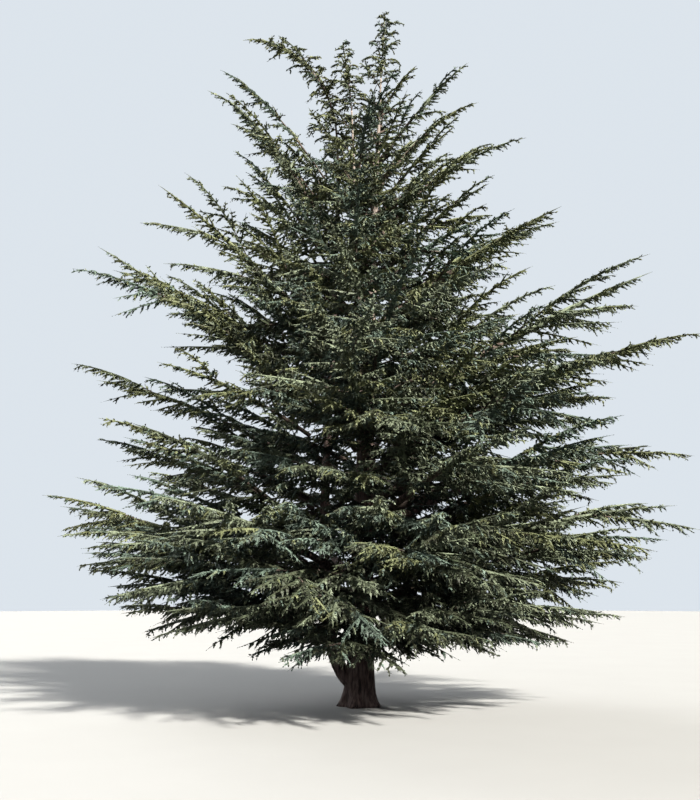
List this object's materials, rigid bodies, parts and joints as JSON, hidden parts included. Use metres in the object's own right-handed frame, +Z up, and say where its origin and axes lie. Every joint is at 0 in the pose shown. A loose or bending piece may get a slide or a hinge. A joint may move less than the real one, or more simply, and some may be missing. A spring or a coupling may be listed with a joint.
{
  "type": "cedar tree",
  "caption": "Open conical cedar tree: tapering flared trunk, two side leaders, tiers of rising boughs and feathery masses of needle sprays.",
  "frame": {"origin": "centre of the flat cut under the trunk, at ground level", "axes": "+Z up the tree, +X to the right and +Y away as the picture sees it"},
  "size_m": [9.2878, 8.2097, 10.14],
  "materials": {
    "bark": "rough, grey to reddish brown bark, furrowed upwards",
    "foliage": "matt, dark grey-green needles with paler grey, blue-green and olive sprays"
  },
  "bodies": {
    "root": {"bough_apron_1": "bark", "bough_apron_2": "bark", "bough_apron_3": "bark", "bough_apron_4": "bark", "bough_apron_5": "bark", "bough_apron_6": "bark", "bough_middle_1": "bark", "bough_middle_2": "bark", "bough_middle_3": "bark", "bough_middle_4": "bark", "bough_skirt_1": "bark", "bough_skirt_2": "bark", "bough_skirt_3": "bark", "bough_skirt_4": "bark", "bough_waist_1": "bark", "bough_waist_2": "bark", "bough_waist_3": "bark", "bough_waist_4": "bark", "bough_waist_5": "bark", "foliage_apron_1": "foliage", "foliage_apron_2": "foliage", "foliage_apron_3": "foliage", "foliage_apron_4": "foliage", "foliage_apron_5": "foliage", "foliage_apron_6": "foliage", "foliage_middle_1": "foliage", "foliage_middle_2": "foliage", "foliage_middle_3": "foliage", "foliage_middle_4": "foliage", "foliage_neck_1": "foliage", "foliage_neck_2": "foliage", "foliage_neck_3": "foliage", "foliage_neck_4": "foliage", "foliage_neck_5": "foliage", "foliage_plume_back": "foliage", "foliage_plume_left": "foliage", "foliage_plume_right": "foliage", "foliage_shoulder_1": "foliage", "foliage_shoulder_2": "foliage", "foliage_shoulder_3": "foliage", "foliage_shoulder_4": "foliage", "foliage_skirt_1": "foliage", "foliage_skirt_2": "foliage", "foliage_skirt_3": "foliage", "foliage_skirt_4": "foliage", "foliage_spire_front": "foliage", "foliage_spire_right": "foliage", "foliage_tip_tuft": "foliage", "foliage_upper_1": "foliage", "foliage_upper_2": "foliage", "foliage_upper_3": "foliage", "foliage_upper_4": "foliage", "foliage_waist_1": "foliage", "foliage_waist_2": "foliage", "foliage_waist_3": "foliage", "foliage_waist_4": "foliage", "foliage_waist_5": "foliage", "leader_front": "bark", "leader_left": "bark", "trunk": "bark"}
  },
  "joints": []
}
